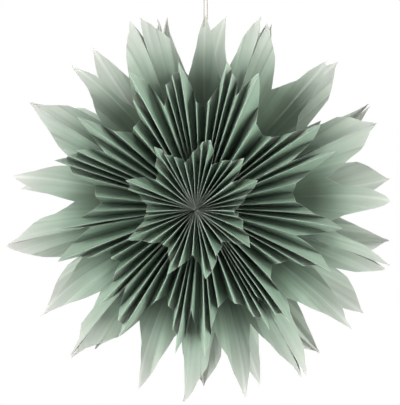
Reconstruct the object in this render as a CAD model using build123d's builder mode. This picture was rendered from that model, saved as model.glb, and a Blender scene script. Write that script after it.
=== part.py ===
from build123d import *
import os
from math import cos, pi, radians, sin, tan

# A hanging star of folded paper. Nine long bags stand round one axis with their
# broad faces glued together. Pleated crowns in two smaller sizes sit on the front
# and on the back of every bag. The axis runs along Y, the front looks to -Y, and
# the origin is inside the top of the twine loop that the star hangs from.

# Overall sizes, in millimetres
star_reach = 300.0
# How far the loop's top stands above the star's full reach
loop_rise = 33.0
hang_drop = star_reach + loop_rise
paper = 0.12
glue_gap = 0.10
seam_gap = 0.05
overrun = 8.0

# How far each bag is opened, as a share of an even pitch, clockwise from the top
opening_shares = [0.925, 1.10, 1.05, 1.0375, 0.95, 0.975, 0.925, 1.0125, 1.025]
# How far each bag's leaves reach, as a share of the star's reach
reach_shares = [0.965, 0.965, 0.97, 0.985, 1.01, 1.03, 1.05, 1.05, 1.015]
segments = len(opening_shares)
even_pitch = 360.0 / segments

# Each pleated sheet is a cone: all its folds would meet in one point on the axis,
# at the apex depth, so that its panels are flat

# How far each sheet's glued side lies from the middle of its seam
short_inset = seam_gap
middle_inset = short_inset + paper + glue_gap
bag_inset = middle_inset + paper + glue_gap

# Long bag: front and back gussets with three leaf tips each
bag_start = 30.0
bag_apex_depth = 67.0
bag_edge_depth_at_tip = 56.0
bag_fold_depth_at_tip = 18.0
# The bags stand a little apart at their tips
bag_width_share = 0.985
web_slot_width = 3.0
# Leaf outline from the gusset's fold (0) to the seam (1), as shares of half the
# opening and of the reach
leaf_outline_shares = [
    (0.0, 0.985), (0.035, 0.94), (0.14, 0.90), (0.27, 0.845), (0.50, 0.745),
    (0.71, 0.855), (0.85, 0.91), (0.965, 0.95), (1.0, 1.0),
]
# Broad face outline from the edge inwards, as shares of the edge depth and reach
web_outline_shares = [
    (0.93, 1.0), (0.86, 0.95), (0.62, 0.86), (0.42, 0.75), (0.0, 0.62),
]

# Middle crown
middle_start = 22.0
middle_reach = 225.0
middle_apex_depth = 87.0
middle_ridge_depth_at_tip = 84.0
middle_valley_depth_at_tip = 64.0
middle_flap_depth = 46.0
# Folds from the middle to the seam; ridge and valley take turns, valley first
middle_fold_shares = [0.0, 0.30, 0.45, 0.57, 0.65, 0.74, 0.87, 1.0]
middle_outline_shares = [
    (0.0, 0.64), (0.30, 0.70), (0.45, 0.80), (0.57, 0.90), (0.65, 1.0),
    (0.74, 0.92), (0.87, 0.87), (1.0, 0.70),
]

# Short crown
short_start = 4.0
short_reach = 108.0
short_apex_depth = 106.0
short_ridge_depth_at_tip = 103.0
short_valley_depth_at_tip = 88.0
short_flap_depth = 72.0
# Folds from seam to seam; ridge and valley take turns, ridge first
short_fold_shares = [-1.0, -0.62, -0.25, 0.0, 0.20, 0.36, 0.55, 0.80, 1.0]
short_outline_shares = [
    (-1.0, 0.64), (-0.62, 0.72), (-0.25, 0.82), (0.0, 0.94), (0.20, 1.0),
    (0.36, 0.88), (0.55, 0.82), (0.80, 0.72), (1.0, 0.64),
]

# Twine loop, glued inside the two gussets of the top bag
twine_diameter = 1.6
twine_tail = 13.0
# Radius of the loop's bends as a share of the straight run between them
twine_bend_share = 0.45


def sector_plane(angle, distance):
    # Plane square to the direction at this angle, with local Y along the star's axis
    outward = Vector(sin(radians(angle)), 0, cos(radians(angle)))
    along = Vector(cos(radians(angle)), 0, -sin(radians(angle)))
    centre = Vector(0, 0, -hang_drop)
    return Plane(origin=centre + outward * distance, x_dir=along, z_dir=outward)


def outline_plane(angle):
    # Plane of the star's face, with local Y pointing outwards at this angle
    along = Vector(cos(radians(angle)), 0, -sin(radians(angle)))
    return Plane(origin=(0, 0, -hang_drop), x_dir=along, z_dir=(0, -1, 0))


def web_plane(angle):
    # Plane of a seam, with local X along the star's axis and local Y outwards
    along = Vector(cos(radians(angle)), 0, -sin(radians(angle)))
    return Plane(origin=(0, 0, -hang_drop), x_dir=(0, 1, 0), z_dir=along)


def polar(share, half_angle, reach):
    angle = radians(share * half_angle)
    return (reach * sin(angle), reach * cos(angle))


def inner_side(points, closed):
    # The other side of the paper: every fold moved inwards along its mitre
    corners = [Vector(*point) for point in points]
    moved = []
    for i, here in enumerate(corners):
        before = corners[i - 1]
        after = corners[(i + 1) % len(corners)]
        normals = []
        if closed or i > 0:
            normals.append((here - before).normalized().rotate(Axis.Z, 90))
        if closed or i < len(corners) - 1:
            normals.append((after - here).normalized().rotate(Axis.Z, 90))
        mitre = sum(normals, Vector(0, 0, 0)).normalized()
        place = here + mitre * (paper / mitre.dot(normals[0]))
        moved.append((place.X, place.Y))
    return moved


def cone_tip(half_angle, inset):
    # Distance from the axis at which a sheet set in by this much from its seams ends in a point
    return inset / sin(radians(half_angle))


def fold_place(share, half_angle, distance, inset):
    # Sideways place of a fold at this distance from the axis
    return (distance - cone_tip(half_angle, inset)) * tan(radians(share * half_angle))


def fold_depth(apex, depth_at_tip, half_angle, distance, reach, inset):
    # Depth of a fold at this distance, on the line from the sheet's apex to the depth at its tip
    start = cone_tip(half_angle, inset)
    return apex + (depth_at_tip - apex) * (distance - start) / (reach - start)


def outline_points(half_angle, reach, shares):
    points = [polar(share, half_angle, reach * part) for share, part in shares]
    side = reach * shares[-1][1] * sin(radians(half_angle)) + overrun
    return [(0, 0), (-side, 0), (-side, points[0][1]), *points, (side, points[-1][1]), (side, 0)]


def both_sides(shares):
    return [(-share, part) for share, part in reversed(shares) if share > 0] + shares


def crown_section(half_angle, distance, reach, fold_shares, apex, depths_at_tip, flap, inset):
    # Ridge folds take the first of the two depths, valley folds the second; both seams are ridges
    path = []
    for i, share in enumerate(fold_shares):
        depth = fold_depth(apex, depths_at_tip[i % 2], half_angle, distance, reach, inset)
        path.append((fold_place(share, half_angle, distance, inset), -depth))
    path = [(path[0][0], -flap), *path, (path[-1][0], -flap)]
    return path + inner_side(path, False)[::-1]


def flat_folds(angle, section_at, start, end):
    # Solid between two sections of a pleated sheet, with one flat face for each panel
    rings = []
    for distance in (start, end):
        plane = sector_plane(angle, distance)
        rings.append([plane.from_local_coords(Vector(*point)) for point in section_at(distance)])
    near, far = rings
    faces = [Face(Wire.make_polygon(near)), Face(Wire.make_polygon(far))]
    for i in range(len(near)):
        corners = [near[i - 1], near[i], far[i], far[i - 1]]
        faces.append(Face(Wire.make_polygon(corners)))
    return Solid(Shell(faces))


def make_crown(name, angle, start, end, section_at, outline):
    with BuildPart() as crown:
        add(flat_folds(angle, section_at, start, end))
        with BuildSketch(outline_plane(angle)):
            with BuildLine():
                Polyline(*outline, close=True)
            make_face()
        extrude(amount=short_apex_depth + overrun, mode=Mode.INTERSECT)
    crown.part.label = f"front_{name}"
    export_step(crown.part, f"parts/{crown.part.label}.step")
    with BuildPart() as rear:
        mirror(crown.part, about=Plane.XZ)
    rear.part.label = f"back_{name}"
    export_step(rear.part, f"parts/{rear.part.label}.step")
    return crown.part, rear.part


def middle_crown(number, angle, half_angle, reach):
    shares = [-share for share in middle_fold_shares[:0:-1]] + middle_fold_shares
    depths = (middle_ridge_depth_at_tip, middle_valley_depth_at_tip)

    def section_at(distance):
        return crown_section(half_angle, distance, reach, shares, middle_apex_depth, depths,
                             middle_flap_depth, middle_inset)

    outline = outline_points(half_angle, reach, both_sides(middle_outline_shares))
    name = f"middle_crown_{number}"
    return make_crown(name, angle, middle_start, reach + overrun, section_at, outline)


def short_crown(number, angle, half_angle, reach):
    depths = (short_ridge_depth_at_tip, short_valley_depth_at_tip)

    def section_at(distance):
        return crown_section(half_angle, distance, reach, short_fold_shares, short_apex_depth,
                             depths, short_flap_depth, short_inset)

    outline = outline_points(half_angle, reach, short_outline_shares)
    name = f"short_crown_{number}"
    return make_crown(name, angle, short_start, reach + overrun, section_at, outline)


def bag_edge_depth(half_angle, distance, reach):
    return fold_depth(bag_apex_depth, bag_edge_depth_at_tip, half_angle, distance, reach, bag_inset)


def bag_fold_depth(half_angle, distance, reach):
    return fold_depth(bag_apex_depth, bag_fold_depth_at_tip, half_angle, distance, reach, bag_inset)


def bag_section(half_angle, distance, reach):
    edge = fold_place(bag_width_share, half_angle, distance, bag_inset)
    edge_depth = bag_edge_depth(half_angle, distance, reach)
    middle_depth = bag_fold_depth(half_angle, distance, reach)
    return [(-edge, -edge_depth), (0, -middle_depth), (edge, -edge_depth),
            (edge, edge_depth), (0, middle_depth), (-edge, edge_depth)]


def long_bag(number, angle, half_angle, reach):
    end = reach + overrun

    def outer_at(distance):
        return bag_section(half_angle, distance, reach)

    def inner_at(distance):
        return inner_side(outer_at(distance), True)

    with BuildPart() as bag:
        add(flat_folds(angle, outer_at, bag_start, end))
        add(flat_folds(angle, inner_at, bag_start + paper, end + overrun), mode=Mode.SUBTRACT)
        with BuildSketch(outline_plane(angle)):
            with BuildLine():
                Polyline(*outline_points(half_angle, reach, both_sides(leaf_outline_shares)), close=True)
            make_face()
        extrude(amount=bag_apex_depth + overrun, both=True, mode=Mode.INTERSECT)
        slot = [(bag_edge_depth_at_tip * part, reach * height) for part, height in web_outline_shares]
        slot = slot + [(-x, y) for x, y in slot[-2::-1]]
        top = reach + overrun
        for side in (-1, 1):
            with BuildSketch(web_plane(angle + side * half_angle)):
                with BuildLine():
                    Polyline((slot[0][0], top), *slot, (slot[-1][0], top), close=True)
                make_face()
            extrude(amount=web_slot_width, both=True, mode=Mode.SUBTRACT)
    bag.part.label = f"long_bag_{number}"
    export_step(bag.part, f"parts/{bag.part.label}.step")
    return bag.part


def twine_loop():
    # The strands run down the inside of the top bag's two gussets
    reach = star_reach * reach_shares[0]
    leaf_tip = reach * leaf_outline_shares[0][1]
    gusset = bag_fold_depth(even_pitch * opening_shares[0] / 2, leaf_tip, reach)
    half_width = gusset - 2 * paper - glue_gap - twine_diameter / 2
    top = twine_diameter / 2
    low = leaf_tip - twine_tail - hang_drop
    route = [(0, -half_width, low), (0, -half_width, top), (0, half_width, top), (0, half_width, low)]
    radii = [twine_bend_share * 2 * half_width] * 2
    with BuildPart() as twine:
        with BuildLine() as centre_line:
            FilletPolyline(*route, radius=radii)
        with BuildSketch(Plane(origin=route[0], z_dir=(0, 0, 1))):
            Circle(twine_diameter / 2)
        sweep()
    twine.part.label = "hanging_twine"
    export_step(twine.part, "parts/hanging_twine.step")
    length = sum(edge.length for edge in centre_line.edges())
    section = pi * twine_diameter ** 2 / 4
    print("twine radii", [round(value, 2) for value in radii], "length", round(length, 2))
    print("twine volume", round(twine.part.volume, 2), "section by length", round(section * length, 2))


os.makedirs("parts", exist_ok=True)
seam_angle = -even_pitch * opening_shares[0] / 2
for number, (opening, reach_share) in enumerate(zip(opening_shares, reach_shares), start=1):
    half = even_pitch * opening / 2
    middle = seam_angle + half
    seam_angle = seam_angle + 2 * half
    long_bag(number, middle, half, star_reach * reach_share)
    middle_crown(number, middle, half, middle_reach * reach_share)
    short_crown(number, middle, half, short_reach * reach_share)
twine_loop()
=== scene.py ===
import math
import random

import bpy
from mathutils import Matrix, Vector


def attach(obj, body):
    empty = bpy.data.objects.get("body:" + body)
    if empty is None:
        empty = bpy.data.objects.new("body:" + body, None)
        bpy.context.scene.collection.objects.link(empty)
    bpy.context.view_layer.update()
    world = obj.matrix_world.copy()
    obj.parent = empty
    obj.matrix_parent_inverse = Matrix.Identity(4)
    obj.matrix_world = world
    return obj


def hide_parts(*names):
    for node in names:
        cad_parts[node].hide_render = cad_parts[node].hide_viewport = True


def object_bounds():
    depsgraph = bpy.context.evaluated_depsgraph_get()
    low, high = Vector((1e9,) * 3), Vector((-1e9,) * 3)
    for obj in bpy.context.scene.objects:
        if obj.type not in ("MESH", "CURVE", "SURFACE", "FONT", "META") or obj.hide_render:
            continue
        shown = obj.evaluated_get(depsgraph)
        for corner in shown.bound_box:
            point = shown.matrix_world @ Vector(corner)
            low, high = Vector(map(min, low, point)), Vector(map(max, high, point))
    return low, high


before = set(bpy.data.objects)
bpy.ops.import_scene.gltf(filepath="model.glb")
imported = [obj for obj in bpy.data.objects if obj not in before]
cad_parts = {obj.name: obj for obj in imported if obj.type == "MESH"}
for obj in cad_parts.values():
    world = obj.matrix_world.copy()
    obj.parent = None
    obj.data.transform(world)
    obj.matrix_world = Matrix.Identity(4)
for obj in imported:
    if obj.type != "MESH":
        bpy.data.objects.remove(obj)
cadLow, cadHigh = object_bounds()
scene = bpy.context.scene

mm = 0.001

# The star as a whole: sizes in mm, angles in degrees, clockwise from the top, seen from the front
star = dict(
    reach=300.0,
    hangDrop=333.0,
    openings=[37.0, 44.0, 42.0, 41.5, 38.0, 39.0, 37.0, 40.5, 41.0],
    reachShares=[0.965, 0.965, 0.97, 0.985, 1.01, 1.03, 1.05, 1.05, 1.015],
    firstSeam=-18.5,
    paperThickness=0.12,
)


def linear(hexColour):
    # sRGB hex to the linear colour that nodes take
    parts = [int(hexColour[i:i + 2], 16) / 255 for i in (1, 3, 5)]
    return [c / 12.92 if c <= 0.04045 else ((c + 0.055) / 1.055) ** 2.4 for c in parts] + [1.0]


def addNode(tree, kind, inputs=None, **settings):
    # One node with its settings, and its inputs as values or as links
    node = tree.nodes.new(kind)
    for key, value in settings.items():
        setattr(node, key, value)
    for key, value in (inputs or {}).items():
        if isinstance(value, bpy.types.NodeSocket):
            tree.links.new(value, node.inputs[key])
        else:
            node.inputs[key].default_value = value
    return node


def runRecipe(tree, known, recipe):
    # Math steps by name: (result, operation, terms...), where a term is a known name or a number
    for result, operation, *terms in recipe:
        inputs = {i: known.get(term, term) for i, term in enumerate(terms)}
        known[result] = addNode(tree, "ShaderNodeMath", inputs, operation=operation).outputs[0]
    return known


def readTable(table, place):
    # Straight lines between given (place, value) pairs
    for (x0, y0), (x1, y1) in zip(table, table[1:]):
        if place <= x1:
            return y0 + (y1 - y0) * max(0.0, place - x0) / (x1 - x0)
    return table[-1][1]


# Camera: angles in degrees, distance in metres, lens in mm
view = dict(azimuth=8.0, elevation=4.0, distance=1.65, lens=94.4, shift=(-0.0141, 0.0057),
            clip=(0.05, 50.0))


def makeCamera():
    azimuth, elevation = math.radians(view["azimuth"]), math.radians(view["elevation"])
    back = Vector((math.sin(azimuth) * math.cos(elevation),
                   -math.cos(azimuth) * math.cos(elevation), math.sin(elevation)))
    camera = bpy.data.objects.new("camera", bpy.data.cameras.new("camera"))
    scene.collection.objects.link(camera)
    camera.location = Vector((0, 0, -star["hangDrop"] * mm)) + back * view["distance"]
    camera.rotation_euler = (-back).to_track_quat("-Z", "Y").to_euler()
    camera.data.lens = view["lens"]
    camera.data.shift_x, camera.data.shift_y = view["shift"]
    camera.data.clip_start, camera.data.clip_end = view["clip"]
    scene.camera = camera


makeCamera()
print("camera is set")


# Materials
def newMaterial(name):
    material = bpy.data.materials.new(name)
    material.use_nodes = True
    material.node_tree.nodes.clear()
    return material, material.node_tree


# Matt dyed craft paper of about 105 g per square metre: soft, a little light comes through it;
# its colour also carries painted highlights on the ridge folds, painted light at the tips and painted
# shade in the hollows and creases
starPaper = dict(
    # of these colours base and deep are the dye; the near-white one is painted highlight on the ridge
    # folds and paler paper at the cut edges and middle folds, the grey one painted light at the tips, and
    # the darkest green painted shade
    base="#97B49D", deep="#5F8069", highlightAndPaleLines="#DCE1DA", tip="#C8C8C3", paintedShade="#3C4D3B",
    through="#D5D3D1",
    roughness=0.88, specular=0.35, ior=1.5, translucency=0.32,
    # patterns as (size in mm, detail, roughness, distortion); real fibres are finer, drawn to show
    clouds=(45.0, 3.0, 0.55, 0.0), fibres=(2.4, 4.0, 0.7, 1.5), grain=(0.9, 2.0, 0.6, 0.0),
    streaks=(3.0, 0.5),  # detail and roughness; a sheet's streakWidth gives their size
    foldLine=0.8,  # mm of painted highlight on each side of a ridge fold, and of paler paper along a cut edge
    foldShare=0.22,  # most of a narrow panel that gets the painted highlight at its ridge fold
    veinShare=0.035,  # paler part of a leaf at its middle fold
    cutPaling=0.8,  # paleness along a cut edge, against 1 for the painted highlight at a ridge fold
    fibreBreakup=(0.35, 0.9),  # least part of the pale lines that shows, and what the fibres add
    highlightMiddleShare=0.014,  # share of the reach where the folds meet, painted white as a highlight
    outwardPower=4.0, tipLightShare=0.9,  # how late and how much painted light pales the paper towards the tips
    ridgeShadeSpared=0.5,  # part of the painted shade in the hollows that a ridge fold goes without
    creases=(0.36, 0.76), creaseShare=0.025, creaseShade=0.55,  # painted shade along a leaf's two soft creases: their places, width and strength
    # even dye, and what the clouds, the streaks and the fibres add to it
    dyeLevel=-0.65, dyeParts=(0.5, 1.8, 0.25),
    bump=0.5, reliefDepth=0.5, reliefParts=(0.5, 2.5),  # strength, mm, and parts of grain, streaks
)


def makeStarPaper():
    material, tree = newMaterial("dyedCraftPaper")
    paper = starPaper
    place = addNode(tree, "ShaderNodeTexCoord").outputs["Object"]
    known = {name: addNode(tree, "ShaderNodeAttribute", attribute_name=name).outputs["Fac"]
             for name in ("pleat", "spread", "across", "ridgeAway", "paintedShade", "edgeAway")}
    for name in ("clouds", "fibres", "grain"):
        size, detail, roughness, distortion = paper[name]
        known[name] = addNode(tree, "ShaderNodeTexNoise", {
            "Vector": place, "Scale": 1 / (size * mm), "Detail": detail, "Roughness": roughness,
            "Distortion": distortion}).outputs["Fac"]
    streakPlace = addNode(tree, "ShaderNodeCombineXYZ", {"X": known["across"], "Y": known["spread"]})
    known["streaks"] = addNode(tree, "ShaderNodeTexNoise", {
        "Vector": streakPlace.outputs[0], "Scale": 1.0, "Detail": paper["streaks"][0],
        "Roughness": paper["streaks"][1]}).outputs["Fac"]
    runRecipe(tree, known, [
        # painted highlights on the ridge folds, fainter pale lines on the leaves' middle folds
        ("farInMm", "DIVIDE", "ridgeAway", paper["foldLine"]),
        ("shareAway", "SUBTRACT", 1.0, "pleat"),
        ("farInShare", "DIVIDE", "shareAway", paper["foldShare"]),
        ("ridgeEdge", "MAXIMUM", "farInMm", "farInShare"),
        ("ridgeLine", "SUBTRACT", 1.0, "ridgeEdge"),
        ("ridgeTop", "MAXIMUM", "ridgeLine", 0.0),
        ("outward", "POWER", "spread", paper["outwardPower"]),
        ("veinEdge", "DIVIDE", "pleat", paper["veinShare"]),
        ("veinLine", "SUBTRACT", 1.0, "veinEdge"),
        ("veinTop", "MAXIMUM", "veinLine", 0.0),
        ("folded", "MULTIPLY_ADD", "veinTop", "outward", "ridgeTop"),
        # along the cut edges
        ("fromCut", "DIVIDE", "edgeAway", paper["foldLine"]),
        ("cutLine", "SUBTRACT", 1.0, "fromCut"),
        ("cutTop", "MAXIMUM", "cutLine", 0.0),
        ("paleLineMask", "MULTIPLY_ADD", "cutTop", paper["cutPaling"], "folded"),
        ("fibreBreakup", "MULTIPLY_ADD", "fibres", paper["fibreBreakup"][1], paper["fibreBreakup"][0]),
        ("paleLineStrength", "MULTIPLY", "paleLineMask", "fibreBreakup"),
        # painted highlight where the folds meet in the middle
        ("toMiddle", "DIVIDE", "spread", paper["highlightMiddleShare"]),
        ("middleHighlightPart", "SUBTRACT", 1.0, "toMiddle"),
        ("middleHighlight", "MAXIMUM", "middleHighlightPart", 0.0),
        ("highlightAndPaleLines", "ADD", "paleLineStrength", "middleHighlight"),
        # painted shade in the hollows and along the leaves' creases, and painted light that pales the tips
        ("tipLight", "MULTIPLY", "outward", paper["tipLightShare"]),
        ("offRidgeShade", "MULTIPLY_ADD", "pleat", -paper["ridgeShadeSpared"], 1.0),
        ("valleyShade", "MULTIPLY", "offRidgeShade", "paintedShade"),
        # painted shade along the leaf's two valley creases
        ("creaseOne", "SUBTRACT", "pleat", paper["creases"][0]),
        ("awayOne", "ABSOLUTE", "creaseOne"),
        ("creaseTwo", "SUBTRACT", "pleat", paper["creases"][1]),
        ("awayTwo", "ABSOLUTE", "creaseTwo"),
        ("nearer", "MINIMUM", "awayOne", "awayTwo"),
        ("fromCrease", "DIVIDE", "nearer", paper["creaseShare"]),
        ("creaseLine", "SUBTRACT", 1.0, "fromCrease"),
        ("creaseTop", "MAXIMUM", "creaseLine", 0.0),
        ("creaseShadeMask", "MULTIPLY", "creaseTop", "outward"),
        ("paintedShadeAmount", "MULTIPLY_ADD", "creaseShadeMask", paper["creaseShade"], "valleyShade"),
        ("mottle", "MULTIPLY_ADD", "clouds", paper["dyeParts"][0], paper["dyeLevel"]),
        ("streaky", "MULTIPLY_ADD", "streaks", paper["dyeParts"][1], "mottle"),
        ("dye", "MULTIPLY_ADD", "fibres", paper["dyeParts"][2], "streaky"),
        ("relief", "MULTIPLY_ADD", "grain", paper["reliefParts"][0], "fibres"),
        ("height", "MULTIPLY_ADD", "streaks", paper["reliefParts"][1], "relief"),
    ])
    colour = linear(paper["deep"])
    # the mixes in turn: dye, painted light at the tips, painted shade, then painted highlights and pale
    # lines
    for amount, shade in (("dye", "base"), ("tipLight", "tip"), ("paintedShadeAmount", "paintedShade"), ("highlightAndPaleLines", "highlightAndPaleLines")):
        colour = addNode(tree, "ShaderNodeMix", {
            0: known[amount], 6: colour, 7: linear(paper[shade])},
            data_type="RGBA", clamp_factor=True).outputs[2]
    bump = addNode(tree, "ShaderNodeBump", {
        "Strength": paper["bump"], "Distance": paper["reliefDepth"] * mm, "Height": known["height"]})
    surface = addNode(tree, "ShaderNodeBsdfPrincipled", {
        "Base Color": colour, "Roughness": paper["roughness"], "Specular IOR Level": paper["specular"],
        "IOR": paper["ior"], "Normal": bump.outputs[0]})
    through = addNode(tree, "ShaderNodeBsdfTranslucent", {
        "Color": linear(paper["through"]), "Normal": bump.outputs[0]})
    both = addNode(tree, "ShaderNodeMixShader", {
        0: paper["translucency"], 1: surface.outputs[0], 2: through.outputs[0]})
    addNode(tree, "ShaderNodeOutputMaterial", {"Surface": both.outputs[0]})
    return material


# Two-ply cotton twine, undyed: beige, dull, with fine fibres round each ply
cottonTwine = dict(base="#7D7263", pale="#B5AB9B", roughness=0.9, specular=0.2, sheen=0.3,
                   fibre=0.35, fibreDetail=4.0, bump=0.8, reliefDepth=0.1)  # fibre and relief in mm


def makeCottonTwine():
    material, tree = newMaterial("cottonTwine")
    cotton = cottonTwine
    place = addNode(tree, "ShaderNodeTexCoord").outputs["Object"]
    fibres = addNode(tree, "ShaderNodeTexNoise", {
        "Vector": place, "Scale": 1 / (cotton["fibre"] * mm), "Detail": cotton["fibreDetail"]})
    body = addNode(tree, "ShaderNodeMix", {
        0: fibres.outputs["Fac"], 6: linear(cotton["base"]), 7: linear(cotton["pale"])},
        data_type="RGBA")
    bump = addNode(tree, "ShaderNodeBump", {
        "Strength": cotton["bump"], "Distance": cotton["reliefDepth"] * mm,
        "Height": fibres.outputs["Fac"]})
    surface = addNode(tree, "ShaderNodeBsdfPrincipled", {
        "Base Color": body.outputs[2], "Roughness": cotton["roughness"],
        "Specular IOR Level": cotton["specular"], "Sheen Weight": cotton["sheen"],
        "Normal": bump.outputs[0]})
    addNode(tree, "ShaderNodeOutputMaterial", {"Surface": surface.outputs[0]})
    return material


paperMaterial = makeStarPaper()
twineMaterial = makeCottonTwine()
print("materials are made")


# The twine loop, a free cord; sizes in mm
twine = dict(
    diameter=1.6, length=144.9, halfWidth=17.6, low=-60.84, high=0.8, belowBend=-24.0,
    plies=2, plyTurn=6.5, plyRadius=0.43, plyOffset=0.37, plySides=8, step=0.45, pathSteps=16,
)


def addInputs(tree, sockets):
    for name, kind in sockets:
        tree.interface.new_socket(name=name, in_out="INPUT", socket_type="NodeSocket" + kind)
    tree.interface.new_socket(name="Result", in_out="OUTPUT", socket_type="NodeSocketGeometry")
    return addNode(tree, "NodeGroupInput").outputs


def setInputs(modifier, values):
    for item in modifier.node_group.interface.items_tree:
        if item.in_out == "INPUT" and item.name in values:
            modifier[item.identifier] = values[item.name]


def buildPlyTree():
    tree = bpy.data.node_groups.new("twistedPlies", "GeometryNodeTree")
    given = addInputs(tree, [
        ("Path", "Geometry"), ("Plies", "Int"), ("Turn", "Float"), ("Ply radius", "Float"),
        ("Ply offset", "Float"), ("Ply sides", "Int"), ("Step", "Float"), ("Fibre", "Material")])
    even = addNode(tree, "GeometryNodeResampleCurve", {
        "Curve": given["Path"], "Length": given["Step"]}, mode="LENGTH")
    ply = addNode(tree, "GeometryNodeDuplicateElements", {
        "Geometry": even.outputs[0], "Amount": given["Plies"]}, domain="SPLINE")
    walk = addNode(tree, "GeometryNodeSplineParameter").outputs["Length"]
    known = dict(walk=walk, turn=given["Turn"], copy=ply.outputs["Duplicate Index"],
                 plies=given["Plies"])
    runRecipe(tree, known, [
        ("turns", "DIVIDE", "walk", "turn"),
        ("partTurn", "DIVIDE", "copy", "plies"),
        ("allTurns", "ADD", "turns", "partTurn"),
        ("angle", "MULTIPLY", "allTurns", 2 * math.pi),
    ])
    spoke = addNode(tree, "ShaderNodeVectorRotate", {
        "Vector": addNode(tree, "GeometryNodeInputNormal").outputs[0],
        "Axis": addNode(tree, "GeometryNodeInputTangent").outputs[0],
        "Angle": known["angle"]}, rotation_type="AXIS_ANGLE")
    offset = addNode(tree, "ShaderNodeVectorMath", {
        0: spoke.outputs[0], "Scale": given["Ply offset"]}, operation="SCALE")
    wound = addNode(tree, "GeometryNodeSetPosition", {
        "Geometry": ply.outputs["Geometry"], "Offset": offset.outputs[0]})
    ring = addNode(tree, "GeometryNodeCurvePrimitiveCircle", {
        "Resolution": given["Ply sides"], "Radius": given["Ply radius"]}, mode="RADIUS")
    tube = addNode(tree, "GeometryNodeCurveToMesh", {
        "Curve": wound.outputs[0], "Profile Curve": ring.outputs[0], "Fill Caps": True})
    real = addNode(tree, "GeometryNodeRealizeInstances", {"Geometry": tube.outputs[0]})
    dressed = addNode(tree, "GeometryNodeSetMaterial", {
        "Geometry": real.outputs[0], "Material": given["Fibre"]})
    addNode(tree, "NodeGroupOutput", {"Result": dressed.outputs[0]})
    return tree


def makeTwine():
    y, low, high, bend = (twine[key] * mm for key in ("halfWidth", "low", "high", "belowBend"))
    route = [(0, -y, low), (0, -y, bend), (0, -y, high), (0, y, high), (0, y, bend), (0, y, low)]
    curve = bpy.data.curves.new("twinePath", "CURVE")
    curve.dimensions = "3D"
    spline = curve.splines.new("NURBS")
    spline.points.add(len(route) - 1)
    for point, place in zip(spline.points, route):
        point.co = (*place, 1)
    spline.order_u = 3
    spline.use_endpoint_u = True
    spline.resolution_u = twine["pathSteps"]
    path = bpy.data.objects.new("twinePath", curve)
    scene.collection.objects.link(path)
    line = bpy.data.meshes.new_from_object(path)
    wind = path.modifiers.new("twistedPlies", "NODES")
    wind.node_group = buildPlyTree()
    setInputs(wind, {"Plies": twine["plies"], "Turn": twine["plyTurn"] * mm,
                     "Ply radius": twine["plyRadius"] * mm, "Ply offset": twine["plyOffset"] * mm,
                     "Ply sides": twine["plySides"], "Step": twine["step"] * mm,
                     "Fibre": twineMaterial})
    graph = bpy.context.evaluated_depsgraph_get()
    mesh = bpy.data.meshes.new_from_object(path.evaluated_get(graph))
    bpy.data.objects.remove(path)
    piece = bpy.data.objects.new("twisted_twine", mesh)
    scene.collection.objects.link(piece)
    mesh.shade_smooth()
    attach(piece, "root")
    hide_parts("hanging_twine")


makeTwine()
print("twine is wound")


# Folded paper: one tree folds every sheet of the star from its list of columns
foldRule = dict(
    flapsEnd=0.6,  # share of the star's reach where the crowns' flaps end
    closeRate=6.0, closedMost=0.85,  # how fast the seams close past them, and how far
    leanPower=3.0, splitPower=14.0,  # how late a fold leans, and two tips at a seam part
    openPanel=30.0,  # degrees across a panel of a bag, for the width of its rubbed fold
    waveDetail=1.0, waveSeed=1.7,
    streakShift=7.0,  # from one sheet's streaks to the next one's
    joinWithin=0.01,  # mm
)
columnFields = ["share", "reach", "depthIn", "depthOut", "lean", "split", "bow", "pleat", "across",
                "panelTurn", "panelDepth"]


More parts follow.
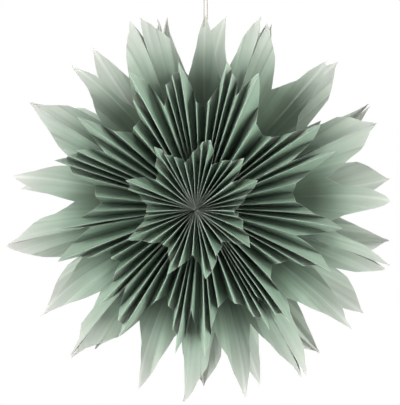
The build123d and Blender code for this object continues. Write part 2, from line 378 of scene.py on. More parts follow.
def buildFoldTree():
    rule = foldRule
    tree = bpy.data.node_groups.new("foldPaper", "GeometryNodeTree")
    given = addInputs(tree, [
        ("Columns", "Geometry"), ("Centre angle", "Float"), ("Half opening", "Float"),
        ("Start radius", "Float"), ("Full reach", "Float"), ("Star reach", "Float"),
        ("Hang drop", "Float"), ("Rows", "Int"), ("Side", "Float"), ("Inset", "Float"),
        ("Bow height", "Float"), ("Waviness", "Float"), ("Wave size", "Float"),
        ("Seed", "Float"), ("Shade reach", "Float"), ("Shade fade", "Float"),
        ("Paper", "Material")])
    count = addNode(tree, "GeometryNodeAttributeDomainSize", {"Geometry": given["Columns"]})
    grid = addNode(tree, "GeometryNodeMeshGrid", {
        "Vertices X": count.outputs["Point Count"], "Vertices Y": given["Rows"]})
    known = {name: given[name] for name in (
        "Centre angle", "Half opening", "Start radius", "Full reach", "Star reach", "Hang drop",
        "Rows", "Side", "Inset", "Bow height", "Waviness", "Shade reach", "Shade fade")}
    known["index"] = addNode(tree, "GeometryNodeInputIndex").outputs[0]
    runRecipe(tree, known, [
        ("columnExact", "DIVIDE", "index", "Rows"),
        ("column", "FLOOR", "columnExact"),
        ("row", "MODULO", "index", "Rows"),
        ("lastRow", "SUBTRACT", "Rows", 1.0),
        ("upSheet", "DIVIDE", "row", "lastRow"),
    ])
    for name in columnFields:
        stored = addNode(tree, "GeometryNodeInputNamedAttribute", {"Name": name}, data_type="FLOAT")
        known[name] = addNode(tree, "GeometryNodeSampleIndex", {
            "Geometry": given["Columns"], "Value": stored.outputs["Attribute"],
            "Index": known["column"]}, data_type="FLOAT", domain="POINT").outputs[0]
    runRecipe(tree, known, [
        ("sheetLength", "SUBTRACT", "reach", "Start radius"),
        ("radius", "MULTIPLY_ADD", "upSheet", "sheetLength", "Start radius"),
        ("out", "DIVIDE", "radius", "Full reach"),
        ("starOut", "DIVIDE", "radius", "Star reach"),
        # a sheet is set in from its seam, and closes up to it past the crowns' flaps
        ("pastFlaps", "SUBTRACT", "starOut", rule["flapsEnd"]),
        ("towards", "MULTIPLY", "pastFlaps", rule["closeRate"]),
        ("closing", "MINIMUM", "towards", rule["closedMost"]),
        ("closed", "MAXIMUM", "closing", 0.0),
        ("open", "SUBTRACT", 1.0, "closed"),
        ("insetHere", "MULTIPLY", "Inset", "open"),
        ("insetAngle", "DIVIDE", "insetHere", "radius"),
        ("halfLeft", "SUBTRACT", "Half opening", "insetAngle"),
        ("turn", "MULTIPLY_ADD", "share", "halfLeft", "Centre angle"),
        ("leaning", "POWER", "starOut", rule["leanPower"]),
        ("leant", "MULTIPLY_ADD", "lean", "leaning", "turn"),
        ("nearTip", "POWER", "starOut", rule["splitPower"]),
        ("angle", "MULTIPLY_ADD", "split", "nearTip", "leant"),
        ("depthGain", "SUBTRACT", "depthOut", "depthIn"),
        ("depth", "MULTIPLY_ADD", "depthGain", "out", "depthIn"),
        ("outSquared", "MULTIPLY", "out", "out"),
        ("bowHere", "MULTIPLY", "bow", "Bow height"),
        ("bowGrown", "MULTIPLY", "bowHere", "outSquared"),
        ("bowed", "ADD", "depth", "bowGrown"),
        ("y", "MULTIPLY", "bowed", "Side"),
        ("sine", "SINE", "angle"),
        ("cosine", "COSINE", "angle"),
        ("x", "MULTIPLY", "radius", "sine"),
        ("rise", "MULTIPLY", "radius", "cosine"),
        ("z", "SUBTRACT", "rise", "Hang drop"),
        ("starOutSquared", "MULTIPLY", "starOut", "starOut"),
        ("wave", "MULTIPLY", "Waviness", "starOutSquared"),
        # distance along the paper to the ridge fold of this panel, in mm
        ("arc", "MULTIPLY", "panelTurn", "radius"),
        ("drop", "MULTIPLY", "panelDepth", "out"),
        ("arcSquared", "MULTIPLY", "arc", "arc"),
        ("widthSquared", "MULTIPLY_ADD", "drop", "drop", "arcSquared"),
        ("panelWidth", "SQRT", "widthSquared"),
        ("fromRidge", "SUBTRACT", 1.0, "pleat"),
        ("away", "MULTIPLY", "fromRidge", "panelWidth"),
        ("ridgeAway", "DIVIDE", "away", mm),
        ("inFromCut", "SUBTRACT", "reach", "radius"),
        ("edgeAway", "DIVIDE", "inFromCut", mm),
        # painted shade of the deep parts of the star, from the share of its reach where it begins
        ("inward", "SUBTRACT", "Shade reach", "starOut"),
        ("faded", "DIVIDE", "inward", "Shade fade"),
        ("within", "MINIMUM", "faded", 1.0),
        ("paintedShade", "MAXIMUM", "within", 0.0),
    ])
    place = addNode(tree, "ShaderNodeCombineXYZ", {"X": known["x"], "Y": known["y"], "Z": known["z"]})
    # waves depend on the place alone, so glued sheets move together
    noise = addNode(tree, "ShaderNodeTexNoise", {
        "Vector": place.outputs[0], "W": given["Seed"], "Scale": given["Wave size"],
        "Detail": rule["waveDetail"]}, noise_dimensions="4D")
    centred = addNode(tree, "ShaderNodeVectorMath", {
        0: noise.outputs["Color"], 1: (-0.5, -0.5, -0.5)}, operation="ADD")
    moved = addNode(tree, "ShaderNodeVectorMath", {
        0: centred.outputs[0], "Scale": known["wave"]}, operation="SCALE")
    final = addNode(tree, "ShaderNodeVectorMath", {0: place.outputs[0], 1: moved.outputs[0]},
                    operation="ADD")
    sheet = addNode(tree, "GeometryNodeSetPosition", {
        "Geometry": grid.outputs["Mesh"], "Position": final.outputs[0]}).outputs[0]
    for name, value in (("pleat", known["pleat"]), ("spread", known["starOut"]),
                        ("across", known["across"]), ("ridgeAway", known["ridgeAway"]),
                        ("paintedShade", known["paintedShade"]), ("edgeAway", known["edgeAway"])):
        sheet = addNode(tree, "GeometryNodeStoreNamedAttribute", {
            "Geometry": sheet, "Name": name, "Value": value},
            data_type="FLOAT", domain="POINT").outputs[0]
    runRecipe(tree, known, [("rear", "GREATER_THAN", "Side", 0.0)])
    turned = addNode(tree, "GeometryNodeFlipFaces", {"Mesh": sheet, "Selection": known["rear"]})
    joined = addNode(tree, "GeometryNodeMergeByDistance", {
        "Geometry": turned.outputs[0], "Distance": rule["joinWithin"] * mm})
    real = addNode(tree, "GeometryNodeRealizeInstances", {"Geometry": joined.outputs[0]})
    dressed = addNode(tree, "GeometryNodeSetMaterial", {
        "Geometry": real.outputs[0], "Material": given["Paper"]})
    addNode(tree, "NodeGroupOutput", {"Result": dressed.outputs[0]})
    return tree


foldTree = buildFoldTree()


def fold(share, reach, depthIn, depthOut, lean, pleat, split=0.0):
    # One column: its place across the bag, its reach and its depths in mm; pleat is 1 on a ridge
    return dict(share=share, reach=reach * mm, depthIn=depthIn * mm, depthOut=depthOut * mm,
                lean=math.radians(lean), split=math.radians(split), pleat=pleat, bow=0.0, across=0.0,
                panelTurn=math.radians(foldRule["openPanel"]), panelDepth=0.0)


def panelColumns(start, end, steps, half, bowSign):
    # Columns from one fold up to the next one, without the last
    columns = []
    for i in range(steps):
        part = i / steps
        column = {key: start[key] + (end[key] - start[key]) * part for key in columnFields}
        column["bow"] = bowSign * math.sin(math.pi * part)
        column["panelTurn"] = math.radians(half) * abs(end["share"] - start["share"])
        column["panelDepth"] = abs(end["depthOut"] - start["depthOut"])
        columns.append(column)
    return columns


def foldSheet(name, columns, centre, half, sheet, reach, side, seed):
    # One sheet of paper: the columns carry its folds and its cut edge
    for i, column in enumerate(columns):
        column["across"] = seed * foldRule["streakShift"] + i * sheet["streakWidth"]
    mesh = bpy.data.meshes.new(name + "_columns")
    mesh.from_pydata([(i * mm, 0, 0) for i in range(len(columns))], [], [])
    for key in columnFields:
        mesh.attributes.new(key, "FLOAT", "POINT").data.foreach_set(
            "value", [column[key] for column in columns])
    holder = bpy.data.objects.new(name + "_columns", mesh)
    scene.collection.objects.link(holder)
    folds = holder.modifiers.new("foldPaper", "NODES")
    folds.node_group = foldTree
    setInputs(folds, {
        "Centre angle": math.radians(centre), "Half opening": math.radians(half),
        "Start radius": sheet["start"] * mm, "Full reach": reach * mm,
        "Star reach": star["reach"] * mm, "Hang drop": star["hangDrop"] * mm,
        "Rows": sheet["rows"], "Side": float(side), "Inset": sheet["inset"] * mm,
        "Bow height": sheet["bow"] * mm, "Waviness": sheet["waviness"] * mm,
        "Wave size": 1 / (sheet["waveSize"] * mm), "Seed": foldRule["waveSeed"],
        "Shade reach": sheet["paintedShade"][0], "Shade fade": sheet["paintedShade"][1],
        "Paper": paperMaterial})
    shell = holder.modifiers.new("paperThickness", "SOLIDIFY")
    shell.thickness = star["paperThickness"] * mm
    shell.offset = -1
    graph = bpy.context.evaluated_depsgraph_get()
    piece = bpy.data.objects.new(
        name + "_folded", bpy.data.meshes.new_from_object(holder.evaluated_get(graph)))
    bpy.data.objects.remove(holder)
    scene.collection.objects.link(piece)
    piece.data.shade_smooth()
    piece.data.set_sharp_from_angle(angle=math.radians(sheet["sharpAngle"]))
    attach(piece, "root")
    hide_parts(name)


# Long bags. The cut edge of each front gusset runs from its left seam's tip, through the tip of its
# middle leaf, to its right seam's tip, as corners of (angle clockwise from the top, reach in mm)
longBag = dict(
    # a sheet's start, inset from its seam, bow and waves in mm; rows counts its points outwards
    start=30.0, rows=30, inset=0.49, widthShare=0.997, bow=-7.0, waviness=5.0, waveSize=70.0,
    streakWidth=0.5, sharpAngle=9.0, edgeIn=50.0, edgeDepth=56.0, foldIn=29.0, foldDepth=17.0,
    # shallow creases between the gusset's fold (0) and the seam (1), as shares of the bow
    creases=[(0, 0), (0.2, 1.3), (0.36, -0.2), (0.6, 1.4), (0.76, 0.1), (0.9, 0.5), (1, 0)],
    columnStep=0.045, leanRounds=4,
    boxMargin=1.5, alongBox=0.01,  # mm, and how nearly a tip may run along a side to be free of it
    tipsPart=0.7,  # share of the half opening past which two bags' tips part at their seam
    # shares of the reach where a bag's painted shade begins, and over how much it grows
    paintedShadeReaches=[0.83, 0.88, 0.76, 0.69, 0.7, 0.72, 0.69, 0.74, 0.83], paintedShadeFade=0.2,
    webSteps=[1.0, 0.97, 0.93, 0.86, 0.74, 0.62, 0.52, 0.42, 0.21, 0.0],
    webOutline=[(0.0, 0.62), (0.42, 0.75), (0.62, 0.86), (0.86, 0.95), (0.93, 1.0), (1.0, 1.0)],
    frontCuts=[
        dict(left=[(-17.8, 297), (-16, 284), (-13, 268), (-10.8, 255), (-8.8, 215), (-7.2, 192),
                   (-5, 213), (-2.8, 243), (-1.9, 262)],
             tip=(0.2, 291),
             right=[(2.3, 264), (3.5, 244), (6.0, 209), (9, 190), (11.3, 220), (12.8, 238),
                    (13.7, 259), (16.5, 283), (17.6, 297)]),
        dict(left=[(20.9, 290), (24.2, 262), (26.1, 250), (28.5, 225), (30.5, 205), (32.6, 214),
                   (36.7, 238), (37.7, 258)],
             tip=(40.4, 289),
             right=[(41.6, 275), (43.6, 262), (44.5, 238), (46.4, 200), (51, 183), (54.6, 203),
                    (55.3, 221), (56.2, 243), (58.7, 259), (61.9, 273), (64.2, 289)]),
        dict(left=[(64.2, 289), (65.6, 276), (68.8, 260), (70.1, 251), (71.4, 234), (73.4, 217),
                   (76.5, 192), (81, 212), (82.3, 232), (83.6, 253), (86.2, 275)],
             tip=(88.3, 290),
             right=[(89.3, 274), (90.4, 259), (91.7, 235), (93, 215), (96, 193), (100, 205),
                    (101.2, 222), (102.4, 246), (104, 263), (105.4, 278), (106.2, 293)]),
        dict(left=[(108.4, 288), (109.8, 273), (112.4, 250), (114, 223), (115.5, 200), (117.5, 187),
                   (120, 210), (122.9, 234), (125.7, 261), (128.2, 277)],
             tip=(129.4, 297),
             right=[(129.9, 279), (131, 250), (132.6, 230), (134.5, 205), (137, 188), (140, 208),
                    (142, 235), (143.5, 260), (146.4, 284), (147.5, 298)]),
        dict(left=[(149.2, 296), (149.4, 276), (152.1, 251), (153.3, 233), (155.1, 219),
                   (157.5, 193), (160.5, 215), (162.3, 237), (163.4, 253), (165.6, 279)],
             tip=(167.7, 308),
             right=[(168.5, 285), (170, 260), (170.8, 234), (172.3, 220), (174.5, 193), (176.8, 217),
                    (178.1, 245), (181.1, 264), (183.5, 290), (185.5, 306)]),
        dict(left=[(184.8, 305), (185.2, 280), (185.5, 258), (186.2, 236), (188, 210), (190, 197),
                   (192.2, 207), (193.4, 221), (195.7, 248), (197.2, 274)],
             tip=(199.9, 310),
             right=[(201.9, 267), (204.7, 235), (209, 204), (211, 226), (212.9, 244), (216.3, 259),
                    (219.6, 286), (220.9, 311)]),
        dict(left=[(221.2, 309), (223.1, 279), (225.8, 262), (226.8, 232), (230, 208), (231.9, 235),
                   (233.8, 262), (235.2, 292)],
             tip=(235.8, 318),
             right=[(237, 300), (237.9, 282), (240.1, 258), (241.8, 239), (244.7, 221), (247, 203),
                    (249.7, 233), (252.3, 263), (254, 277), (256.4, 299), (258.3, 314)]),
        dict(left=[(258.5, 307), (259.8, 292), (264, 264), (265.3, 253), (266.6, 231), (269.2, 212),
                   (271.5, 200), (273.2, 230), (274.6, 263), (275.8, 282)],
             tip=(277.7, 319),
             right=[(278.6, 303), (281, 272), (284.2, 243), (287, 208), (289.8, 222), (292, 242),
                    (295.8, 261), (299.3, 291), (300.9, 307)]),
        dict(left=[(300.9, 307), (302.4, 287), (306.4, 259), (307.8, 237), (309.3, 203), (310.8, 218),
                   (313.3, 236), (315, 257), (315.7, 286)],
             tip=(316.1, 305),
             right=[(317.3, 287), (320, 262), (321, 238), (322.2, 205), (324.5, 182), (328.5, 210),
                    (331.4, 241), (333.1, 257), (336.3, 277), (338.8, 298)])],
    # a cut comes to its point in a soft bend: (share of the first edge's angle, share of its drop)
    finePoint=[(0.33, 0.3), (0.6, 0.58)],
    # the back is cut like the front: three tips as (lean in degrees, reach in mm), and between
    # them a notch, with one of two edges from a tip (0) to its notch (1)
    backTips=[
        [(5, 303), (6.2, 295), (-1, 299)], [(0.5, 299), (2, 300), (-5, 294)],
        [(-4, 294), (-2, 295), (-3.5, 295)], [(-3.5, 295), (-1, 296), (-2.5, 296)],
        [(-2.5, 296), (-1.5, 299), (-2, 305)], [(-2, 305), (-4, 305), (-4.5, 309)],
        [(-4.5, 309), (-3.5, 310), (-4, 310)], [(-4, 310), (-6, 308), (-3.5, 310)],
        [(-3.5, 310), (2.5, 308), (2.5, 306)]],
    backNotch=(0.5, 196), notchSpread=(0.9, 1.08), seed=300,
    backEdges=[
        [(0, 1.0), (0.06, 0.93), (0.2, 0.84), (0.5, 0.67), (0.74, 0.50), (0.95, 0.08), (1, 0)],
        [(0, 1.0), (0.05, 0.92), (0.28, 0.66), (0.42, 0.48), (0.75, 0.14), (1, 0)]],
)


def insideBox(angle, reach):
    # A reach in mm, cut short where it would pass the edge of the frame's box
    across, up = math.sin(math.radians(angle)), math.cos(math.radians(angle))
    wide = cadHigh[0] if across > 0 else cadLow[0]
    tall = (cadHigh if up > 0 else cadLow)[2] + star["hangDrop"] * mm
    room = [side / part for side, part in ((wide, across), (tall, up))
            if abs(part) > longBag["alongBox"]]
    return min(reach, min(room) / mm - longBag["boxMargin"])


def tipLean(angle, reach, foldAngle):
    # How far a fold turns at the star's full reach, for its tip to lie at the angle
    return (angle - foldAngle) / (reach / star["reach"]) ** foldRule["leanPower"]


def frontLeans(number, centre, half):
    # Two bags lean together at their seam, and part only near their tips
    cuts, parted = longBag["frontCuts"], longBag["tipsPart"]
    # the angles start again between the last bag and the first
    turns = 360.0 * (number == len(cuts) - 1), 360.0 * (number == 0)
    own, after, before = cuts[number], cuts[(number + 1) % len(cuts)], cuts[number - 1]
    left = tipLean(*own["left"][0], centre - half)
    leftOther = tipLean(before["right"][-1][0] - turns[1], before["right"][-1][1], centre - half)
    right = tipLean(*own["right"][-1], centre + half)
    rightOther = tipLean(after["left"][0][0] + turns[0], after["left"][0][1], centre + half)
    leans = [(-1.0, (left + leftOther) / 2), (0.0, tipLean(*own["tip"], centre)),
             (1.0, (right + rightOther) / 2)]
    splits = [(-1.0, (left - leftOther) / 2), (-parted, 0.0), (parted, 0.0),
              (1.0, (right - rightOther) / 2)]
    return leans, splits


def backLeans(number):
    tips, parted = longBag["backTips"], longBag["tipsPart"]
    own, after, before = tips[number], tips[(number + 1) % len(tips)], tips[number - 1]
    leans = [(-1.0, (own[0][0] + before[2][0]) / 2), (0.0, own[1][0]),
             (1.0, (own[2][0] + after[0][0]) / 2)]
    splits = [(-1.0, (own[0][0] - before[2][0]) / 2), (-parted, 0.0), (parted, 0.0),
              (1.0, (own[2][0] - after[0][0]) / 2)]
    return leans, splits


def frontCorners(number, centre, half, leans):
    # The cut edge as (share of the half opening, reach), with the lean taken out of the angles
    cut = longBag["frontCuts"][number]
    corners = [(-1.0, insideBox(*cut["left"][0]))]
    for angle, reach in cut["left"][1:] + [cut["tip"]] + cut["right"][:-1]:
        share = (angle - centre) / half
        leaning = (reach / star["reach"]) ** foldRule["leanPower"]
        for _ in range(longBag["leanRounds"]):  # the lean is read at the share that it moves
            lean = readTable(leans, max(-1.0, min(1.0, share)))
            share = (angle - centre - lean * leaning) / half
        corners.append((0.0 if (angle, reach) == cut["tip"] else share, insideBox(angle, reach)))
    return corners + [(1.0, insideBox(*cut["right"][-1]))]


def backCorners(number, centre, half):
    bag, chance = longBag, random.Random(longBag["seed"] + number)
    notchPlace, notchReach = bag["backNotch"]
    tips = [(lean, insideBox(centre + half * place + lean, reach))
            for place, (lean, reach) in zip((-1, 0, 1), bag["backTips"][number])]
    corners = []
    # four edges: each has its tip, the tip's place, and the way from there to its notch
    for i, (tip, place, way) in enumerate(((0, -1, 1), (1, 0, -1), (1, 0, 1), (2, 1, -1))):
        edge = chance.choice(bag["backEdges"])
        spread = chance.uniform(*bag["notchSpread"]) * notchPlace
        points = [(place + way * part * spread, notchReach + (tips[tip][1] - notchReach) * growth)
                  for part, growth in edge]
        if i % 2:
            notch = points.pop()
            corners[-1] = ((corners[-1][0] + notch[0]) / 2, notch[1])
            corners += points[::-1]
        else:
            corners += points[1:] if i else points
    return corners


def sharpenTips(corners):
    # Fine points at the tips, and no column further than a step from the next
    bag = longBag
    result = []
    for i, (start, end) in enumerate(zip(corners, corners[1:])):
        fromTip = i == 0 or corners[i - 1][1] < start[1] > end[1]
        toTip = i == len(corners) - 2 or corners[i + 2][1] < end[1] > start[1]
        parts = [(0.0, 0.0), (1.0, 1.0)]
        if fromTip:
            parts[1:1] = bag["finePoint"]
        elif toTip:
            parts[1:1] = [(1 - part, 1 - drop) for part, drop in bag["finePoint"][::-1]]
        for (part, drop), (nextPart, nextDrop) in zip(parts, parts[1:]):
            count = max(1, math.ceil((nextPart - part) * (end[0] - start[0]) / bag["columnStep"]))
            for j in range(count):
                along = part + (nextPart - part) * j / count
                fall = drop + (nextDrop - drop) * j / count
                result.append((start[0] + (end[0] - start[0]) * along,
                               start[1] + (end[1] - start[1]) * fall))
    return result + [corners[-1]]


def gussetColumns(number, width, side, centre, half):
    # One gusset from its left seam to its right one: three leaves and two notches
    bag = longBag
    if side < 0:
        leans, splits = frontLeans(number, centre, half)
        corners = frontCorners(number, centre, half, leans)
    else:
        leans, splits = backLeans(number)
        corners = backCorners(number, centre, half)
    columns = []
    for share, reach in sharpenTips(corners):
        toEdge = abs(share)
        depthIn = bag["foldIn"] + (bag["edgeIn"] - bag["foldIn"]) * toEdge
        depthOut = bag["foldDepth"] + (bag["edgeDepth"] - bag["foldDepth"]) * toEdge
        column = fold(share * width, reach, side * depthIn, side * depthOut,
                      readTable(leans, share), toEdge, readTable(splits, share))
        column["bow"] = side * readTable(bag["creases"], toEdge)
        columns.append(column)
    return columns


def webColumns(front, back, share):
    # A broad face from its front edge to its back edge, with the deep notch between
    bag = longBag
    columns = []
    steps = bag["webSteps"] + [-step for step in bag["webSteps"][-2::-1]]
    for step in steps[1:-1]:
        near = front if step >= 0 else back
        part = (1 - step) / 2
        reach = near["reach"] / mm * readTable(bag["webOutline"], abs(step))
        lean, split = (math.degrees(front[key] + (back[key] - front[key]) * part)
                       for key in ("lean", "split"))
        columns.append(fold(share, reach, -bag["edgeIn"] * step, -bag["edgeDepth"] * step,
                            lean, (1 + abs(step)) / 2, split))
    return columns


def makeLongBag(number, centre, half, reach):
    bag = longBag
    front = gussetColumns(number - 1, bag["widthShare"], -1, centre, half)
    back = gussetColumns(number - 1, bag["widthShare"], 1, centre, half)[::-1]
    right = webColumns(front[-1], back[0], bag["widthShare"])
    left = webColumns(front[0], back[-1], -bag["widthShare"])[::-1]
    columns = front + right + back + left + [dict(front[0])]
    sheet = dict(bag, paintedShade=(bag["paintedShadeReaches"][number - 1], bag["paintedShadeFade"]))
    foldSheet(f"long_bag_{number}", columns, centre, half, sheet, reach, 1, number)


# Middle crowns: ridges as shares of the half opening, with the two tips and the gap between
# them as (share, reach in mm), and the reach at the left and right seams
middleCrown = dict(
    start=6.0, rows=22, inset=0.27, bow=0.9, waviness=5.0, waveSize=70.0, steps=5, flapSteps=2,
    # the pair of shares for painted shade sets where it begins on the crown and over how much it grows
    streakWidth=0.8, sharpAngle=24.0, paintedShade=(0.85, 0.9), reach=225.0, flapDepth=46.0, flapPleat=0.5,
    ridgeIn=64.0, ridgeOut=84.0,  # depths from the star's middle plane
    # handwork, by chance: mm by which a ridge is low or a valley shallow, and a valley's place
    seed=100, streakSeed=10, ridgeLower=2.5, valleyHigher=3.0, valleyPlace=(0.42, 0.58),
    # the same for the valleys, from the bag's middle fold (0) to its seams (1)
    valleyIn=[(0.0, 26.0), (0.5, 34.0), (1.0, 44.0)],
    valleyOut=[(0.0, 42.0), (0.5, 50.0), (1.0, 60.0)],
    # growth from seam to tip and from the gap to the tip
    seamGrowth=[(0, 0.0), (0.37, 0.57), (0.74, 0.73), (1, 1)],
    gapGrowth=[(0, 0.0), (0.46, 0.16), (0.69, 0.44), (0.88, 0.72), (1, 1)],
    bags=[
        dict(ridges=[-1, -0.8, -0.6, -0.4, -0.07, 0.3, 0.6, 0.77, 1], left=(-0.4, 217),
             gap=(0.1, 149), right=(0.6, 220), seams=(159, 175)),
        dict(ridges=[-1, -0.75, -0.29, 0.23, 0.46, 0.64, 1], left=(-0.75, 218),
             gap=(0.0, 141), right=(0.64, 219), seams=(175, 154)),
        dict(ridges=[-1, -0.82, -0.42, 0.09, 0.39, 0.6, 1], left=(-0.82, 218),
             gap=(-0.1, 137), right=(0.6, 214), seams=(154, 150)),
        dict(ridges=[-1, -0.56, -0.38, -0.1, 0.39, 0.7, 0.85, 1], left=(-0.56, 215),
             gap=(0.13, 135), right=(0.7, 216), seams=(150, 155)),
        dict(ridges=[-1, -0.87, -0.68, -0.34, 0.18, 0.45, 0.62, 1], left=(-0.87, 208),
             gap=(0.0, 142), right=(0.62, 221), seams=(155, 153)),
        dict(ridges=[-1, -0.76, -0.6, -0.32, 0.08, 0.45, 0.65, 1], left=(-0.76, 221),
             gap=(-0.1, 145), right=(0.45, 230), seams=(153, 163)),
        dict(ridges=[-1, -0.82, -0.48, -0.06, 0.24, 0.44, 1], left=(-0.82, 211),
             gap=(-0.17, 149), right=(0.44, 230), seams=(163, 166)),
        dict(ridges=[-1, -0.92, -0.59, -0.2, 0.23, 0.38, 0.55, 0.72, 1], left=(-0.92, 219),
             gap=(-0.33, 152), right=(0.38, 229), seams=(166, 164)),
        dict(ridges=[-1, -0.7, -0.44, -0.01, 0.37, 0.58, 1], left=(-0.7, 227),
             gap=(-0.13, 150), right=(0.58, 228), seams=(164, 159))],
)


def middleReach(share, cut):
    # A crown's cut edge, from a seam or from the gap up to the tip beside it
    left, gap, right, seams = (cut[key] for key in ("left", "gap", "right", "seams"))
    if share <= left[0]:
        low, tip, growth = (-1.0, seams[0]), left, "seamGrowth"
    elif share <= gap[0]:
        low, tip, growth = gap, left, "gapGrowth"
    elif share <= right[0]:
        low, tip, growth = gap, right, "gapGrowth"
    else:
        low, tip, growth = (1.0, seams[1]), right, "seamGrowth"
    part = (share - low[0]) / (tip[0] - low[0])
    return low[1] + (tip[1] - low[1]) * readTable(middleCrown[growth], part)


def crownColumns(folds, crown, half):
    # Panels bow out and in by turns, and the glue flaps at both ends stay flat
    columns = []
    for i, (start, end) in enumerate(zip(folds, folds[1:])):
        flap = i == 0 or i == len(folds) - 2
        steps, bowSign = (crown["flapSteps"], 0.0) if flap else (crown["steps"], (-1) ** i)
        columns += panelColumns(start, end, steps, half, bowSign)
    return columns + [folds[-1]]


def makeMiddleCrown(number, centre, half, reach, side):
    crown = middleCrown
    cut = crown["bags"][number - 1]
    leans = (frontLeans(number - 1, centre, half) if side < 0 else backLeans(number - 1))[0]
    leans = [leans[0], leans[2]]
    chance = random.Random(crown["seed"] + number)
    folds = []
    for i, ridge in enumerate(cut["ridges"]):
        lower = 0.0 if abs(ridge) == 1 else chance.uniform(0.0, crown["ridgeLower"])
        folds.append(fold(ridge, middleReach(ridge, cut), crown["ridgeIn"],
                          crown["ridgeOut"] - lower, readTable(leans, ridge), 1.0))
        if i < len(cut["ridges"]) - 1:
            after = cut["ridges"][i + 1]
            share = ridge + (after - ridge) * chance.uniform(*crown["valleyPlace"])
            higher = chance.uniform(0.0, crown["valleyHigher"])
            folds.append(fold(share, middleReach(share, cut), readTable(crown["valleyIn"], abs(share)),
                              readTable(crown["valleyOut"], abs(share)) + higher,
                              readTable(leans, share), 0.0))
    for end in (0, -1):
        flap = dict(folds[end])
        flap.update(depthIn=crown["flapDepth"] * mm, depthOut=crown["flapDepth"] * mm,
                    pleat=crown["flapPleat"])
        folds.insert(0 if end == 0 else len(folds), flap)
    columns = crownColumns(folds, crown, half)
    name = "front" if side < 0 else "back"
    foldSheet(f"{name}_middle_crown_{number}", columns, centre, half, crown, reach, side,
              crown["streakSeed"] + number)


# Short crowns: ridges as (angle, reach in mm) from the left seam to the right one
shortCrown = dict(
    start=2.0, rows=16, inset=0.05, bow=0.5, waviness=5.0, waveSize=70.0, steps=5, flapSteps=2,
    # the pair of shares for painted shade sets where it begins on the crown and over how much it grows
    streakWidth=0.8, sharpAngle=24.0, paintedShade=(0.6, 0.8), reach=108.0, flapDepth=62.0,
    ridgeIn=105.6, ridgeOut=103.0, valleyIn=66.0, valleyOut=77.0, seamDepth=76.0,
    seamPleat=0.6, flapPleat=0.5,
    seed=200, streakSeed=20, valleyShift=0.6,  # degrees by which chance shifts a valley
    bags=[
        [(-13.6, 70), (-3, 84), (5.5, 99), (12, 104), (19.2, 69)],
        [(19.2, 69), (29, 82), (37, 88), (43, 103), (52.7, 66)],
        [(52.7, 66), (64.5, 100), (74, 75), (83, 65), (91.1, 56)],
        [(91.1, 56), (99, 63), (112, 74), (124.5, 96), (130, 77), (140.4, 60)],
        [(140.4, 60), (156, 73), (165, 92), (172, 102), (184.6, 66)],
        [(184.6, 66), (197, 88), (204, 105), (211, 79), (223.1, 71)],
        [(223.1, 71), (234, 84), (246, 113), (252, 92), (262, 77), (267.5, 74)],
        [(267.5, 74), (279, 80), (286, 104), (292, 113), (306, 73)],
        [(306, 73), (316.6, 87), (326, 110), (330, 92), (337, 83), (346.4, 70)]],
)


def makeShortCrown(number, centre, half, reach, side):
    crown = shortCrown
    ridges = crown["bags"][number - 1]
    chance = random.Random(crown["seed"] + number)
    folds = []
    for i, (angle, ridgeReach) in enumerate(ridges):
        folds.append(fold((angle - centre) / half, ridgeReach, crown["ridgeIn"],
                          crown["ridgeOut"], 0.0, 1.0))
        if i < len(ridges) - 1:
            nextAngle, nextReach = ridges[i + 1]
            between = (angle + nextAngle) / 2 + chance.uniform(-crown["valleyShift"], crown["valleyShift"])
            folds.append(fold((between - centre) / half, (ridgeReach + nextReach) / 2,
                              crown["valleyIn"], crown["valleyOut"], 0.0, 0.0))
    for end in (0, -1):
        for part in ("seam", "flap"):
            depth = crown[part + "Depth"] * mm
            flap = dict(folds[0 if end == 0 else -1])
            flap.update(depthIn=depth, depthOut=depth, pleat=crown[part + "Pleat"],
                        share=-1.0 if end == 0 else 1.0)
            folds.insert(0 if end == 0 else len(folds), flap)
    columns = crownColumns(folds, crown, half)
    name = "front" if side < 0 else "back"
    foldSheet(f"{name}_short_crown_{number}", columns, centre, half, crown, reach, side,
              crown["streakSeed"] + number)


seam = star["firstSeam"]
for number, (opening, reachShare) in enumerate(zip(star["openings"], star["reachShares"]), start=1):
    half = opening / 2
    centre = seam + half
    seam += opening
    makeLongBag(number, centre, half, star["reach"] * reachShare)
    for side in (-1, 1):
        makeMiddleCrown(number, centre, half, middleCrown["reach"] * reachShare, side)
        makeShortCrown(number, centre, half, shortCrown["reach"] * reachShare, side)


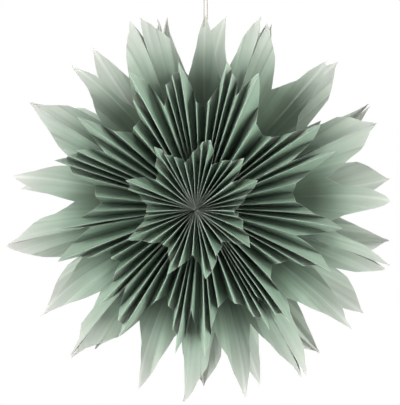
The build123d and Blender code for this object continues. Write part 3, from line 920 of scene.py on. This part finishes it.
# Studio: white surroundings, a pale floor well below, and soft lamps; metres and watts
studio = dict(
    floorDrop=2.8, floorHalf=1.2, floorColour="#F2F2F0", floorRoughness=0.7, surroundLight=0.12,
    lamps=[
        # name, place, width and height, watts; the two tall ones stand at the sides, so that
        # they can't reach into the pleats at 12 and 6 o'clock
        ("leftLamp", (-1.9, -0.9, -0.2), (0.8, 3.2), 104.0),
        ("rightLamp", (1.9, -0.8, -0.3), (0.8, 3.0), 98.0),
        ("highLamp", (-0.1, -1.2, 1.7), (0.8, 0.8), 24.0),
        ("lowLamp", (0.1, -1.2, -2.2), (0.8, 0.8), 9.0),
        ("backLamp", (0.1, 2.2, -0.2), (2.4, 2.4), 95.0),
    ],
)


def makeStudio():
    world = bpy.data.worlds.new("whiteStudio")
    scene.world = world
    world.use_nodes = True
    tree = world.node_tree
    tree.nodes.clear()
    rays = addNode(tree, "ShaderNodeLightPath").outputs
    seen = runRecipe(tree, dict(camera=rays["Is Camera Ray"], glossy=rays["Is Glossy Ray"],
                                passing=rays["Is Transmission Ray"]), [
        ("direct", "MAXIMUM", "camera", "glossy"),
        ("any", "MAXIMUM", "direct", "passing"),
        ("strength", "MULTIPLY_ADD", "any", 1 - studio["surroundLight"], studio["surroundLight"]),
    ])
    sky = addNode(tree, "ShaderNodeBackground", {
        "Color": (1, 1, 1, 1), "Strength": seen["strength"]})
    addNode(tree, "ShaderNodeOutputWorld", {"Surface": sky.outputs[0]})

    half, low = studio["floorHalf"], -studio["floorDrop"]
    mesh = bpy.data.meshes.new("floor")
    mesh.from_pydata([(-half, -half, low), (half, -half, low), (half, half, low), (-half, half, low)],
                     [], [(0, 1, 2, 3)])
    floor = bpy.data.objects.new("floor", mesh)
    scene.collection.objects.link(floor)
    material, tree = newMaterial("paleFloor")
    surface = addNode(tree, "ShaderNodeBsdfPrincipled", {
        "Base Color": linear(studio["floorColour"]), "Roughness": studio["floorRoughness"]})
    addNode(tree, "ShaderNodeOutputMaterial", {"Surface": surface.outputs[0]})
    mesh.materials.append(material)

    target = Vector((0, 0, -star["hangDrop"] * mm))
    for name, place, size, watts in studio["lamps"]:
        lamp = bpy.data.objects.new(name, bpy.data.lights.new(name, "AREA"))
        scene.collection.objects.link(lamp)
        lamp.location = place
        lamp.rotation_euler = (target - Vector(place)).to_track_quat("-Z", "Y").to_euler()
        lamp.data.shape = "RECTANGLE"
        lamp.data.size, lamp.data.size_y = size
        lamp.data.energy = watts
        lamp.visible_camera = False
    scene.view_settings.view_transform = "Standard"


makeStudio()
print("studio is lit")
